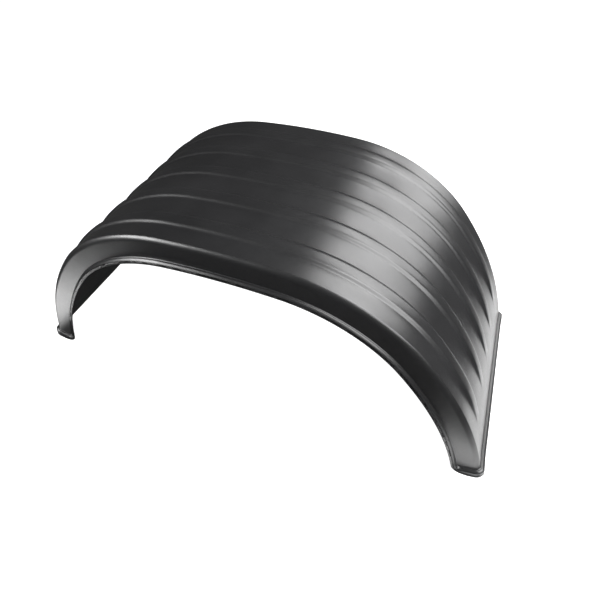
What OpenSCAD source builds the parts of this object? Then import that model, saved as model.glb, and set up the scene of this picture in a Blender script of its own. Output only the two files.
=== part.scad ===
// Ribbed plastic mudguard for a lorry's twin rear wheels.
// One moulded sheet: a wide arch with raised ribs running round it, side walls
// turned down towards the wheel, and a lip turned outward round the whole rim.
// +X runs along the vehicle, +Y across the tread, +Z up.
// The origin is under the middle of the arch, level with its feet.
//
// The side view is a chain of arcs that meet without a kink: a flat crown, a
// bend on each side of it, and a straighter leg below each bend. Every arc is
// the same cross-section turned about its own centre. The directions at which
// arcs meet are whole-number triangles such as 7:24:25, and the steps in radius
// fit them, so neighbouring arcs share their end faces exactly.

/* [Arch] */
// Radius of the bends on each side of the crown, on the sheet between the ribs
bend_r = 527; // [500:1:560]
// How much larger the radius of the nearly flat crown is
crown_more = 1562.5; // [1250:31.25:1875]
// How much larger the radius of the legs is
leg_more = 531.25; // [406.25:15.625:593.75]
// Height of the crown's sheet above the feet, with the end lip as set below
crown_z = 620.8; // [580:0.1:660]

/* [Section] */
// Overall width over the side lips
width = 650; // [610:2:720]
// Wall thickness of the sheet
wall = 4; // [3:0.5:5]
// Radius of the shoulder between the sheet and a side wall
shoulder_r = 18; // [10:1:22]
// Angle off the sheet at which the shoulder starts, at a crisp edge
shoulder_a = 30; // [0:5:40]
// How much the sheet rises from the outer ribs to the shoulders
edge_rise = 4; // [0:0.5:6]
// How far the side wall stands in from the lip's face, at its top
wall_in_top = 11; // [11:1:20]
// How far the side wall stands in from the lip's face, at its foot
wall_in_foot = 11; // [8:1:12]
// Depth of the side wall from the sheet to the step of the lip
wall_depth = 62; // [50:1:80]
// Height of the turned-out side lip below its step
lip_h = 14; // [10:1:24]

/* [Ribs] */
// Number of ribs across the sheet
rib_n = 5; // [3:2:5]
// Distance between rib centres
rib_pitch = 115; // [90:1:120]
// Width of a rib where it leaves the sheet
rib_w = 47; // [40:1:56]
// Width of a rib's flat top
rib_top = 31; // [16:1:34]
// Height of a rib above the sheet
rib_h = 8; // [5:0.5:10]
// How much smaller the radius is on which the ribs sink into the leg
fade_less = 400; // [350:6.25:450]

/* [End lip] */
// How far the end lip stands out from the sheet
end_out = 11; // [8:1:14]
// Height of the end lip along the leg
end_h = 26; // [22:1:34]
// Radius of the rounded foot where the side lip runs into the end lip
foot_r = 44; // [20:1:44]

/* [Hidden] */
// [sine, cosine] of the angle from upright at each meeting of two arcs:
// crown and bend, bend and leg, start of the sinking ribs, end of the leg
d_crown = [237, 3116] / 3125;
d_bend = [11753, 10296] / 15625;
d_fade = [527, 336] / 625;
d_end = [24, 7] / 25;
// radii of the sheet's outer face
crown_r = bend_r + crown_more;
leg_r = bend_r + leg_more;
fade_r = leg_r - fade_less;
// arc centres, [x, z]
c_crown = [0, crown_z - crown_r];
c_bend = c_crown + crown_more * d_crown;
c_leg = c_bend - leg_more * d_bend;
c_fade = c_leg + fade_less * d_fade;
// half width to the lip's face, and the side wall's face at top and foot
hw = width / 2;
y_top = hw - wall_in_top;
y_foot = hw - wall_in_foot;
// levels of the step and of the lip's edge, from the sheet's outer face
r_step = -wall_depth;
r_edge = -wall_depth - lip_h;
rib_y = [for (i = [0 : rib_n - 1]) (i - (rib_n - 1) / 2) * rib_pitch];
// degrees that the end lip takes along the leg
deg_lip = end_h / leg_r * 180 / PI;
deg_wall = wall / leg_r * 180 / PI;

// lengths in the section are kept to hundredths
function q(v) = round(v * 100) / 100;
function qq(l) = [for (p = l) [q(p[0]), q(p[1])]];
function flip(l) = [for (p = l) [-p[0], p[1]]];
function back(l) = [for (i = [len(l) - 1 : -1 : 0]) l[i]];
// points of an arc, [y, r], from angle a0 to a1 off the radial direction
function arc(c, r, a0, a1, n) =
    [for (i = [0 : n]) let (a = a0 + (a1 - a0) * i / n) c + r * [sin(a), cos(a)]];

// a rib's face: foot, flank and top, with the four corners eased
function rib(y, h, w, t, base) = let (f = (w - t) / 2, k = 2.5, m = h * 0.6 * k / f) [
    [y - w / 2 - k, base], [y - w / 2 + 0.6 * k, base + m],
    [y - t / 2 - 0.6 * k, base + h - m], [y - t / 2 + k, base + h],
    [y + t / 2 - k, base + h], [y + t / 2 + 0.6 * k, base + h - m],
    [y + w / 2 - 0.6 * k, base + m], [y + w / 2 + k, base]];
function rib_out(y) = rib(y, rib_h, rib_w, rib_top, 0);
function rib_in(y) = rib(y, rib_h, rib_w - wall, rib_top - wall, -wall);

// shoulder, side wall and turned-out lip on the +Y side, going out and back
c_sh = [y_top - shoulder_r, edge_rise - shoulder_r * cos(shoulder_a)];
y_rise = (rib_n - 1) / 2 * rib_pitch + rib_w / 2 + 5.5;
function edge_out() = concat([[y_rise, 0]], arc(c_sh, shoulder_r, shoulder_a, 88, 5),
    [[y_foot - 0.5, r_step + 4], [y_foot + 0.8, r_step + 1], [y_foot + 3, r_step],
     [hw - 5, r_step], [hw - 1.5, r_step - 1.5], [hw, r_step - 5],
     [hw, r_edge + 0.8], [hw - 0.8, r_edge]]);
function edge_in() = concat(
    [[hw - wall + 0.8, r_edge], [hw - wall, r_edge + 0.8], [hw - wall, r_step - wall],
     [y_foot - wall + 0.6, r_step - wall], [y_foot - wall - 0.5, r_step - wall + 3]],
    back(arc(c_sh, shoulder_r - wall, shoulder_a, 88, 5)), [[y_rise, -wall]]);

// the sheet's closed outline across its width
function section(ribs) = qq(concat(
    back(flip(edge_out())),
    ribs ? [for (y = rib_y) each rib_out(y)] : [],
    edge_out(), edge_in(),
    ribs ? [for (i = [rib_n - 1 : -1 : 0]) each back(rib_in(rib_y[i]))] : [],
    back(flip(edge_in()))));

// a band round the outside of the section, between two distances from the
// sheet's outer face, with its ends on the side walls at level r
function band(o, i, r) = let (
    out = concat([[y_rise, o]], arc(c_sh, shoulder_r + o, shoulder_a, 88, 5), [[y_foot + o, r_step], [y_foot + o, r]]),
    inn = concat([[y_rise, i]], arc(c_sh, shoulder_r + i, shoulder_a, 88, 5), [[y_foot + i, r_step], [y_foot + i, r]]))
    qq(concat(back(flip(out)), out, back(inn), flip(inn)));

// an outline turned about centre c, from direction d by an angle; a positive
// angle goes on towards the foot of the leg
module turn(c, d, r, angle, outline) {
    translate([c[0], 0, c[1]])
        rotate([90, 0, 0])
            rotate([0, 0, atan2(d[1], d[0])])
                rotate_extrude(angle = -angle, $fn = 240)
                    polygon([for (p = outline) [r + p[1], -p[0]]]);
}

// one arc of the arch: the outline turned from direction d0 a little past
// direction d1, and cut back there
module arc_piece(c, r, d0, d1, outline) {
    difference() {
        turn(c, d0, r, atan2(d1[0], d1[1]) - atan2(d0[0], d0[1]) + 1.5, outline);
        translate([c[0], 0, c[1]])
            rotate([90, 0, 0])
                rotate([0, 0, atan2(d1[1], d1[0])])
                    translate([r - 120, -100, -hw - 10])
                        cube([160, 100, width + 20]);
    }
}

// ribs sinking into the leg, and the hollows under them; their flanks run on
// through the sheet's faces
module sinking(outline) {
    for (y = rib_y) turn(c_fade, d_fade, fade_r, 17, qq([for (p = outline) [y + p[0], p[1]]]));
}
sink_rib = concat([[-rib_w / 2 - 1, -2]], [for (k = [1 : 6]) rib_out(0)[k]], [[rib_w / 2 + 1, -2]]);
sink_hollow = let (p = rib_in(0), g = (p[2][0] - p[1][0]) / (p[2][1] - p[1][1]), d = p[1][1] + wall + 4)
    concat([[p[1][0] - g * d, p[1][1] - d]], [for (k = [1 : 6]) p[k]], [[p[6][0] + g * d, p[6][1] - d]]);

// plain sheet of the leg, with the ribs sinking into it
module lower_leg() {
    difference() {
        union() {
            arc_piece(c_leg, leg_r, d_fade, d_end, section(false));
            sinking(sink_rib);
        }
        sinking(sink_hollow);
    }
}

// lip at the end of the leg: a shelf standing out, and its skirt
module end_lip() {
    turn(c_leg, d_end, leg_r, deg_wall, band(end_out, -wall, r_step - wall));
    turn(c_leg, d_end, leg_r, deg_lip, band(end_out, end_out - wall, r_edge));
}

// what the rounded foot leaves out of the corner of side lip and end lip; its
// arc runs a little past both edges, so that it meets them at an angle
module foot_corner() {
    translate([c_leg[0], 0, c_leg[1]])
        rotate([90, 0, 0])
            rotate([0, 0, atan2(d_end[1], d_end[0]) - deg_lip])
                translate([leg_r + r_edge + foot_r - 1.6, foot_r - 0.4, 0])
                    difference() {
                        translate([-foot_r - 8, -foot_r - 8, -hw - 5])
                            cube([foot_r + 8, foot_r + 8, width + 10]);
                        cylinder(r = foot_r, h = width + 30, center = true, $fn = 96);
                    }
}

module half() {
    arc_piece(c_bend, bend_r, d_crown, d_bend, section(true));
    arc_piece(c_leg, leg_r, d_bend, d_fade, section(true));
    difference() {
        union() {
            lower_leg();
            end_lip();
        }
        foot_corner();
    }
}

module mudguard() {
    color([0.09, 0.09, 0.1]) {
        arc_piece(c_crown, crown_r, [-d_crown[0], d_crown[1]], d_crown, section(true));
        half();
        mirror([1, 0, 0]) half();
    }
}

mudguard();
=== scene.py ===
import math
import bpy
import numpy as np
from mathutils import Matrix, Vector


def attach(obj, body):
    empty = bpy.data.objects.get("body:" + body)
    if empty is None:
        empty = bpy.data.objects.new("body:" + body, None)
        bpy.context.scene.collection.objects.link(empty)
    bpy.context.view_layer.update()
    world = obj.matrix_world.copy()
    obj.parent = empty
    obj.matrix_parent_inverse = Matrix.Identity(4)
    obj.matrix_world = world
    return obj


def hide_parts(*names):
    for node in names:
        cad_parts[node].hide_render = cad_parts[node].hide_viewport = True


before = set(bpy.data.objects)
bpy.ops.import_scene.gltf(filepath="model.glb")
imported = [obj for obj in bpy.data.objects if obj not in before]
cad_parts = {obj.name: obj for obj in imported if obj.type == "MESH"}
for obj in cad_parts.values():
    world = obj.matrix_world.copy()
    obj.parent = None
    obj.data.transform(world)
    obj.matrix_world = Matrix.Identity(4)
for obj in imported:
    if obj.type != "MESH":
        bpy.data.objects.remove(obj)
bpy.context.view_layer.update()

scene = bpy.context.scene

# ---------------------------------------------------------------- camera
# right, down and forward of the view, from the photograph's own perspective
rv = (2.370200, 0.428900, -0.176900)
ang = math.sqrt(sum(a * a for a in rv))
R = np.array(Matrix.Rotation(ang, 3, Vector(rv).normalized()))
right, down, fwd = R
cam_data = bpy.data.cameras.new("camera")
cam_data.sensor_width = 36.0
cam_data.sensor_fit = "HORIZONTAL"
cam_data.lens = 457.15 / 600 * 36.0
cam_data.shift_x = -(304.03 - 300) / 600
cam_data.shift_y = (297.37 - 300) / 600
cam_data.clip_end = 60
cam = bpy.data.objects.new("camera", cam_data)
scene.collection.objects.link(cam)
m = Matrix.Identity(4)
for i in range(3):
    m[i][0], m[i][1], m[i][2] = right[i], -down[i], -fwd[i]
m[0][3], m[1][3], m[2][3] = 0.46195, -0.95855, 1.3156
cam.matrix_world = m
scene.camera = cam

# ---------------------------------------------------------------- form
# All lengths in millimetres until the mesh is written.
BEND, CROWN, LEG = 527.0, 2089.5, 1058.25
D_CROWN = (237 / 3125, 3116 / 3125)
D_BEND = (11753 / 15625, 10296 / 15625)
D_FADE = (527 / 625, 336 / 625)
D_END = (24 / 25, 7 / 25)
TOP = 620.8
C1 = np.array([0.0, TOP - CROWN])
C2 = C1 + (CROWN - BEND) * np.array(D_CROWN)
C3 = C2 - (LEG - BEND) * np.array(D_BEND)
A1, A2, AF, AE = (math.atan2(*d) for d in (D_CROWN, D_BEND, D_FADE, D_END))
S1 = CROWN * A1
S2 = S1 + BEND * (A2 - A1)
SF = S2 + LEG * (AF - A2)
S_END = S2 + LEG * (AE - A2)
WALL, SH_R, SH_0, SH_A = 4.0, 18.0, math.radians(30), math.radians(88)
EDGE = 3.0
HALF, Y_TOP, Y_FOOT, DEPTH = 325.0, 314.0, 314.0, 62.0
Y_RISE, RISE = 257.0, 1.5
RIB_Y = [-230.0, -115.0, 0.0, 115.0, 230.0]
RIB_H, FADE_K = 8.0, 1 / 658.25 - 1 / 1058.25
OUT, LIP_SIDE, LIP_END, FOOT_R = 11.0, 14.0, 26.0, 44.0


def path(s):
    """Point and outward direction of the arch at arc length s, on the sheet's outer face."""
    a = np.abs(s)
    sg = np.where(s < 0, -1.0, 1.0)
    th = np.where(a < S1, a / CROWN, np.where(a < S2, A1 + (a - S1) / BEND, A2 + (a - S2) / LEG))
    c = np.where((a < S1)[..., None], C1, np.where((a < S2)[..., None], C2, C3))
    r = np.where(a < S1, CROWN, np.where(a < S2, BEND, LEG))
    n = np.stack([np.sin(th), np.cos(th)], -1)
    p = c + r[..., None] * n
    return sg * p[..., 0], p[..., 1], sg * n[..., 0], n[..., 1]


# the section as a table: flat, a slight rise, a crisp but eased edge, shoulder,
# side wall down to its foot
_cy, _cr = Y_TOP - SH_R, RISE - SH_R * math.cos(SH_0)
_ey, _er = _cy + SH_R * math.sin(SH_0), RISE
_a = np.linspace(SH_0, SH_A, 30)
_b = np.linspace(0, SH_0, 12)
_k = EDGE * math.tan(SH_0 / 2)
_y = [np.linspace(Y_RISE, _ey - _k, 40, endpoint=False)]
_t = (_y[0] - Y_RISE) / (_ey - _k - Y_RISE)
_r = [RISE * _t * _t * (3 - 2 * _t)]
_y.append(_ey - _k + EDGE * np.sin(_b))
_r.append(RISE - EDGE + EDGE * np.cos(_b))
_keep = _cy + SH_R * np.sin(_a) > _y[1][-1] + 0.4
_y.append((_cy + SH_R * np.sin(_a))[_keep])
_r.append((_cr + SH_R * np.cos(_a))[_keep])
_y, _r = np.concatenate(_y), np.concatenate(_r)
_t = np.linspace(0, 1, 41)[1:]
_y = np.concatenate([_y, _y[-1] + (Y_FOOT - _y[-1]) * _t])
_r = np.concatenate([_r, _r[-1] + (-DEPTH - _r[-1]) * _t])
_v = Y_RISE + np.concatenate([[0], np.cumsum(np.hypot(np.diff(_y), np.diff(_r)))])
V_FLAT = float(np.interp(_ey - _k, _y[:41], _v[:41]))
V_SH = float(_v[len(_v) - 41])
V_END = float(_v[-1])
_ty, _tr = np.gradient(_y, _v), np.gradient(_r, _v)
_tn = np.hypot(_ty, _tr)
_ty, _tr = _ty / _tn, _tr / _tn


def sect(v):
    """Point and outward normal of the section at distance v from the middle, before the ribs."""
    a = np.abs(v)
    sg = np.where(v < 0, -1.0, 1.0)
    over = np.maximum(0, a - V_END)
    y = np.where(a < Y_RISE, a, np.interp(a, _v, _y))
    r = np.where(a < Y_RISE, 0.0, np.interp(a, _v, _r)) - over
    ny = np.where(a < Y_RISE, 0.0, np.where(over > 0, 1.0, -np.interp(a, _v, _tr)))
    nr = np.where(a < Y_RISE, 1.0, np.where(over > 0, 0.0, np.interp(a, _v, _ty)))
    k = np.hypot(ny, nr)
    return sg * y, r, sg * ny / k, nr / k


def ramp(x, r):
    return 0.5 * (x + np.sqrt(x * x + r * r))


def rib_height(s, y, half_foot, half_top, r=3.6):
    """Height of the ribs; they sink into the sheet towards the feet."""
    h = np.zeros(np.broadcast(s, y).shape)
    drop = 0.5 * FADE_K * np.maximum(0, np.abs(s) - SF) ** 2
    for k in RIB_Y:
        d = np.abs(y - k)
        p = (ramp(half_foot - d, r) - ramp(half_top - d, r)) / (half_foot - half_top)
        h = h + np.where(d < 40, p * RIB_H, 0.0)
    full = h
    sunk = ramp(full - drop, 0.9) - ramp(-drop, 0.9)
    return np.where(drop > 0, sunk, ramp(full, 0.9) - 0.45)


def sway(s, v):
    """The slight unevenness of a large thin moulding."""
    s, v = s / 1000.0, v / 1000.0
    w = (np.sin(7.1 * s + 3.3 * v + 0.7) * np.sin(9.3 * v - 2.1 * s + 1.9) * 0.5
         + np.sin(15.7 * s - 6.1 * v + 2.4) * np.sin(19.0 * v + 4.0 * s + 0.3) * 0.22
         + np.sin(31.0 * s + 11.0 * v) * np.sin(27.0 * v - 13.0 * s + 1.1) * 0.08)
    return w * 0.55


def place(s, v, off):
    """Developed sheet position and height over it, to a point in the object's frame."""
    s, v, off = np.broadcast_arrays(np.asarray(s, float), np.asarray(v, float), np.asarray(off, float))
    px, pz, nx, nz = path(s)
    y, r, ny, nr = sect(v)
    rr = r + off * nr
    return np.stack([px + nx * rr, y + off * ny, pz + nz * rr], -1)


# rows along the arch and columns across it, on the part inside the corner radius
RC = 12.0
s_in, v_in = S_END - RC, V_END - RC


def dedupe(a, eps=0.5):
    a = np.sort(np.asarray(a, float))
    keep = [a[0]]
    for x in a[1:]:
        if x - keep[-1] > eps:
            keep.append(x)
    return np.array(keep)


half_rows = np.concatenate([np.linspace(0, S1, 10), np.linspace(S1, S2, 33), np.linspace(S2, SF, 10),
                            np.linspace(SF, SF + 190, 18), np.linspace(SF + 190, s_in, 6)])
half_rows = dedupe(half_rows)
half_rows[-1] = s_in
rows = np.concatenate([-half_rows[:0:-1], half_rows])
steps = [0, 6.0, 9.5, 11.5, 13.0, 14.2, 15.4, 16.6, 17.8, 19.2, 20.6, 22.0, 23.2, 24.4, 25.8, 28.0]
cols = []
for k in RIB_Y:
    cols += [k + d for d in steps] + [k - d for d in steps[1:]]
for a, b in zip(RIB_Y[:-1], RIB_Y[1:]):
    cols += [(a + b) / 2 - 11, (a + b) / 2 + 11]
cols += [sgn * x for sgn in (-1, 1) for x in (258, 264, 270, 277, 284, 291, 297)]
half_edge = np.concatenate([np.linspace(V_FLAT - 0.6, V_FLAT + 3.0, 7), np.linspace(V_FLAT + 4.2, V_SH, 12), np.linspace(V_SH + 3, v_in, 6)])
cols = dedupe(np.concatenate([cols, half_edge, -half_edge]))
cols[0], cols[-1] = -v_in, v_in
NS, NV = len(rows), len(cols)

# closed loop round the inner rectangle, with a fan at each corner; each entry
# is the rectangle's point and the direction outwards
NC = 9
loop_idx, loop_pt, loop_dir = [], [], []


def corner(si, vi, a0):
    for j in range(1, NC):
        a = a0 + math.pi / 2 * j / NC
        loop_idx.append(si * NV + vi)
        loop_pt.append((rows[si], cols[vi]))
        loop_dir.append((math.cos(a), math.sin(a)))


def side(idx, d):
    for si, vi in idx:
        loop_idx.append(si * NV + vi)
        loop_pt.append((rows[si], cols[vi]))
        loop_dir.append(d)


side([(NS - 1, j) for j in range(NV)], (1.0, 0.0))
corner(NS - 1, NV - 1, 0.0)
side([(i, NV - 1) for i in range(NS - 1, -1, -1)], (0.0, 1.0))
corner(0, NV - 1, math.pi / 2)
side([(0, j) for j in range(NV - 1, -1, -1)], (-1.0, 0.0))
corner(0, 0, math.pi)
side([(i, 0) for i in range(NS)], (0.0, -1.0))
corner(NS - 1, 0, 1.5 * math.pi)
loop_pt, loop_dir = np.array(loop_pt), np.array(loop_dir)
M = len(loop_idx)


def rim_width(p, d):
    """Distance from the sheet's boundary to the lip's edge, whose corners are rounded."""
    a, b = S_END + LIP_END, V_END + LIP_SIDE
    p, d = np.abs(p), np.abs(d)
    best = None
    if d[1] > 1e-9:
        t = (b - p[1]) / d[1]
        if p[0] + t * d[0] <= a - FOOT_R + 1e-6:
            best = t
    if best is None and d[0] > 1e-9:
        t = (a - p[0]) / d[0]
        if p[1] + t * d[1] <= b - FOOT_R + 1e-6:
            best = t
    if best is None:
        q = p - np.array([a - FOOT_R, b - FOOT_R])
        qb = float(q @ d)
        best = -qb + math.sqrt(max(0.0, qb * qb - float(q @ q) + FOOT_R**2))
    return best


bound = loop_pt + loop_dir * RC
width = np.array([rim_width(p, d) for p, d in zip(bound, loop_dir)])
# keep the edge from stepping where the loop goes from side to corner
F, E, T = 3.2, 5.0, WALL


def arc_pts(cx, cy, r, a0, a1, n):
    return [(cx + r * math.cos(math.radians(a0 + (a1 - a0) * i / n)),
             cy + r * math.sin(math.radians(a0 + (a1 - a0) * i / n))) for i in range(n + 1)]


# lip outline as (distance outwards, share of the rim's own width, height);
# the second number moves a point with the width, which is 14 beside and 36 at the ends
rim = []
for x, z in arc_pts(-F, F, F, -90, 0, 5):
    rim.append((x, 0.0, z))
for x, z in ((0, OUT - 6.4), (0.5, OUT - 5.2), (2.85, OUT - 2.85), (5.2, OUT - 0.5), (6.4, OUT)):
    rim.append((x, 0.0, z))
rim.append((0.0, 0.35, OUT))
rim.append((0.0, 0.7, OUT))
for x, z in arc_pts(-1.3, OUT - 1.3, 1.3, 90, 0, 3):
    rim.append((x, 1.0, z))
for x, z in arc_pts(-1.3, OUT - T + 1.3, 1.3, 0, -90, 3):
    rim.append((x, 1.0, z))
rim.append((T + 2.4, 0.3, OUT - T))
for x, z in arc_pts(T + 1.6, OUT - T - 1.6, 1.6, 90, 180, 3):
    rim.append((x, 0.0, z))
for x, z in arc_pts(T - 3.0, -T + 3.0, 3.0, 0, -90, 4):
    rim.append((x, 0.0, z))

verts, faces = [], []


def add(pts):
    base = sum(len(v) for v in verts)
    verts.append(pts.reshape(-1, 3))
    return base


sg, vg = np.meshgrid(rows, cols, indexing="ij")
yg = sect(vg)[0]
flat = np.abs(vg) < V_FLAT
h_out = np.where(flat, rib_height(sg, vg, 23.5, 15.5), 0.0)
h_in = np.where(flat, rib_height(sg, vg, 21.6, 13.6), 0.0)
edge_calm = np.clip((S_END - np.abs(sg)) / 90, 0, 1) * np.clip((V_END - np.abs(vg)) / 60, 0, 1)
wob = sway(sg, vg) * edge_calm
wob = wob - 0.35 * edge_calm
outer = place(sg, vg, h_out + wob)
inner = place(sg, vg, h_in + wob - WALL)
b_out = add(outer)
b_in = add(inner)


def quad(a, b, c, d):
    ids = []
    for i in (a, b, c, d):
        if i not in ids:
            ids.append(i)
    if len(ids) > 2:
        faces.append(ids)


for i in range(NS - 1):
    for j in range(NV - 1):
        a, b = i * NV + j, (i + 1) * NV + j
        faces.append([b_out + a, b_out + b, b_out + b + 1, b_out + a + 1])
        faces.append([b_in + a, b_in + a + 1, b_in + b + 1, b_in + b])

ring = [b_out + i for i in loop_idx]
profile = [(-RC + RC * k, 0.0, 0.0) for k in (0.3, 0.6)] + rim + [(-RC + RC * k, 0.0, -T) for k in (0.6, 0.3)]
for dx, share, h in profile:
    # inside corners, rows that lie inwards of the boundary shrink to the corner
    dist = RC + dx + share * width
    p = loop_pt + loop_dir * dist[:, None]
    pts = place(p[:, 0], p[:, 1], np.full(M, h))
    base = add(pts)
    new = [base + i for i in range(M)]
    for i in range(M):
        k = (i + 1) % M
        quad(ring[i], new[i], new[k], ring[k])
    ring = new
new = [b_in + i for i in loop_idx]
for i in range(M):
    k = (i + 1) % M
    quad(ring[i], new[i], new[k], ring[k])

mesh = bpy.data.meshes.new("mudguard_sheet")
V = np.concatenate(verts) / 1000.0
mesh.from_pydata(V.tolist(), [], faces)
mesh.validate()
mesh.update()
import bmesh
bm = bmesh.new()
bm.from_mesh(mesh)
bmesh.ops.remove_doubles(bm, verts=bm.verts, dist=1e-6)
bmesh.ops.recalc_face_normals(bm, faces=bm.faces)
bm.to_mesh(mesh)
bm.free()
mesh.polygons.foreach_set("use_smooth", [True] * len(mesh.polygons))
mesh.update()
sheet = bpy.data.objects.new("mudguard_sheet", mesh)
scene.collection.objects.link(sheet)

# ---------------------------------------------------------------- material
mat = bpy.data.materials.new("black_plastic")
mat.use_nodes = True
nt = mat.node_tree
nt.nodes.clear()


def node(kind, **kw):
    n = nt.nodes.new(kind)
    for k, v in kw.items():
        setattr(n, k, v)
    return n


def link(a, b):
    nt.links.new(a, b)


outp = node("ShaderNodeOutputMaterial")
bsdf = node("ShaderNodeBsdfPrincipled")
link(bsdf.outputs[0], outp.inputs[0])
bsdf.inputs["Specular IOR Level"].default_value = 0.5
bsdf.inputs["IOR"].default_value = 1.5
coord = node("ShaderNodeTexCoord")
pos = coord.outputs["Object"]


def noise(scale, detail=3.0, rough=0.5, vec=None):
    n = node("ShaderNodeTexNoise")
    n.inputs["Scale"].default_value = scale
    n.inputs["Detail"].default_value = detail
    n.inputs["Roughness"].default_value = rough
    link(vec or pos, n.inputs["Vector"])
    return n.outputs["Fac"]


def remap(v, a, b, c, d):
    n = node("ShaderNodeMapRange")
    link(v, n.inputs["Value"])
    for k, x in zip(("From Min", "From Max", "To Min", "To Max"), (a, b, c, d)):
        n.inputs[k].default_value = x
    return n.outputs[0]


def math_node(op, a, b):
    n = node("ShaderNodeMath", operation=op)
    for i, x in enumerate((a, b)):
        if isinstance(x, (int, float)):
            n.inputs[i].default_value = x
        else:
            link(x, n.inputs[i])
    return n.outputs[0]


# colour: black plastic with faint cloudy variation and a trace of dust
cloud = noise(5.0, 4.0, 0.55)
fine = noise(160.0, 2.0, 0.6)
ramp_n = node("ShaderNodeValToRGB")
ramp_n.color_ramp.elements[0].position = 0.3
ramp_n.color_ramp.elements[0].color = (0.0058, 0.0058, 0.0061, 1)
ramp_n.color_ramp.elements[1].position = 0.75
ramp_n.color_ramp.elements[1].color = (0.0092, 0.0092, 0.0096, 1)
link(cloud, ramp_n.inputs[0])
link(ramp_n.outputs[0], bsdf.inputs["Base Color"])
# roughness: satin, a little uneven, broken up by the moulding's fine grain
r1 = remap(noise(9.0, 3.0), 0.3, 0.7, 0.30, 0.36)
r2 = remap(fine, 0.3, 0.7, -0.02, 0.03)
link(math_node("ADD", r1, r2), bsdf.inputs["Roughness"])
# bump: fine leathery grain over slow draw marks of the moulding
grain = noise(900.0, 2.0, 0.6)
orange = noise(120.0, 2.0, 0.5)
bump1 = node("ShaderNodeBump")
bump1.inputs["Strength"].default_value = 0.10
bump1.inputs["Distance"].default_value = 0.0004
link(grain, bump1.inputs["Height"])
bump2 = node("ShaderNodeBump")
bump2.inputs["Strength"].default_value = 0.10
bump2.inputs["Distance"].default_value = 0.0010
link(orange, bump2.inputs["Height"])
link(bump1.outputs[0], bump2.inputs["Normal"])
link(bump2.outputs[0], bsdf.inputs["Normal"])
sheet.data.materials.append(mat)

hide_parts("mudguard")
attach(sheet, "root")

# ---------------------------------------------------------------- stage
fmat = bpy.data.materials.new("floor")
fmat.use_nodes = True
fb = fmat.node_tree.nodes["Principled BSDF"]
fb.inputs["Base Color"].default_value = (0.36, 0.36, 0.36, 1)
fb.inputs["Roughness"].default_value = 0.9
fb.inputs["Specular IOR Level"].default_value = 0.1
fb.inputs["Emission Color"].default_value = (1, 1, 1, 1)
fb.inputs["Emission Strength"].default_value = 0.90


def sheet_of_floor(name, corners, mirrored):
    fm = bpy.data.meshes.new(name)
    fm.from_pydata(corners, [], [(0, 1, 2, 3)])
    fm.materials.append(fmat)
    o = bpy.data.objects.new(name, fm)
    scene.collection.objects.link(o)
    o.visible_glossy = mirrored


# the floor itself keeps out of the plastic's sheen; only the parts of it beside
# the feet are mirrored in the legs
def floor_cells(name, boxes, mirrored):
    pts, fcs = [], []
    for x0, y0, x1, y1 in boxes:
        n = len(pts)
        pts += [(x0, y0, 0), (x1, y0, 0), (x1, y1, 0), (x0, y1, 0)]
        fcs.append((n, n + 1, n + 2, n + 3))
    fm = bpy.data.meshes.new(name)
    fm.from_pydata(pts, [], fcs)
    fm.materials.append(fmat)
    o = bpy.data.objects.new(name, fm)
    scene.collection.objects.link(o)
    o.visible_glossy = mirrored


xs = (-14, -1.0, -0.76, 0.62, 0.757, 0.96, 14)
ys = (-14, -0.52, -0.42, -0.335, 1.2, 14)
lit = {(1, 1), (3, 2), (4, 2), (4, 3), (1, 2)}
cells = [(i, j) for i in range(len(xs) - 1) for j in range(len(ys) - 1)]
boxes = lambda on: [(xs[i], ys[j], xs[i + 1], ys[j + 1]) for i, j in cells if ((i, j) in lit) == on]
floor_cells("floor", boxes(False), False)
floor_cells("floor_beside", boxes(True), True)
sheet_of_floor("backdrop", [(-14, 9, 0), (14, 9, 0), (14, 12, 9), (-14, 12, 9)], False)

world = bpy.data.worlds.new("world")
scene.world = world
world.use_nodes = True
bg = world.node_tree.nodes["Background"]
bg.inputs[0].default_value = (1, 1, 1, 1)
bg.inputs[1].default_value = 0.045


def softbox(name, loc, target, size, power, spread=180, color=(1, 1, 1)):
    d = bpy.data.lights.new(name, "AREA")
    d.shape = "RECTANGLE"
    d.size, d.size_y = size
    d.energy = power
    d.color = color
    d.spread = math.radians(spread)
    o = bpy.data.objects.new(name, d)
    scene.collection.objects.link(o)
    o.location = loc
    v = Vector(target) - Vector(loc)
    o.rotation_euler = v.to_track_quat("-Z", "Y").to_euler()
    return o




def toward(az, el):
    """Direction from compass angle, +Y towards +X, and height over the horizon, in degrees."""
    az, el = math.radians(az), math.radians(el)
    return Vector((math.cos(el) * math.sin(az), math.cos(el) * math.cos(az), math.sin(el)))


# soft lights behind and to the right, one over the other: the broad sheen down
# the bend, which reaches lower on its right
aim = Vector((0.3, 0.0, 0.5))
softbox("back_light", aim + toward(31, 43.5) * 3.2, aim, (2.5, 1.1), 94)
softbox("back_low", aim + toward(34, 21) * 3.2, aim, (1.8, 1.4), 52)
# wide soft lights from the right, overhead and in front: the near flanks of the ribs
aim_f = Vector((0.35, 0.0, 0.55))
softbox("top_light", aim_f + toward(78, 58) * 2.6, aim_f, (2.2, 2.2), 95)
softbox("front_light", aim_f + toward(116, 45) * 2.6, aim_f, (2.2, 3.0), 215)
# soft light from the front left: the shoulder's edge and the left leg
aim_l = Vector((-0.3, -0.31, 0.56))
softbox("left_light", aim_l + Vector((-0.735, -0.50, 0.45)) * 2.4, aim_l, (1.3, 1.1), 100)
# low fills beside the two near feet
for name, loc, size, power in (("fill_left", (-0.93, -0.48, 0.004), (0.30, 0.24), 0.8),
                               ("fill_right", (0.70, -0.385, 0.004), (0.22, 0.10), 0.05)):
    softbox(name, Vector(loc), Vector(loc) + Vector((0, 0, 1)), size, power).visible_camera = False

scene.view_settings.view_transform = "Standard"
scene.view_settings.look = "None"
scene.view_settings.exposure = 0.0
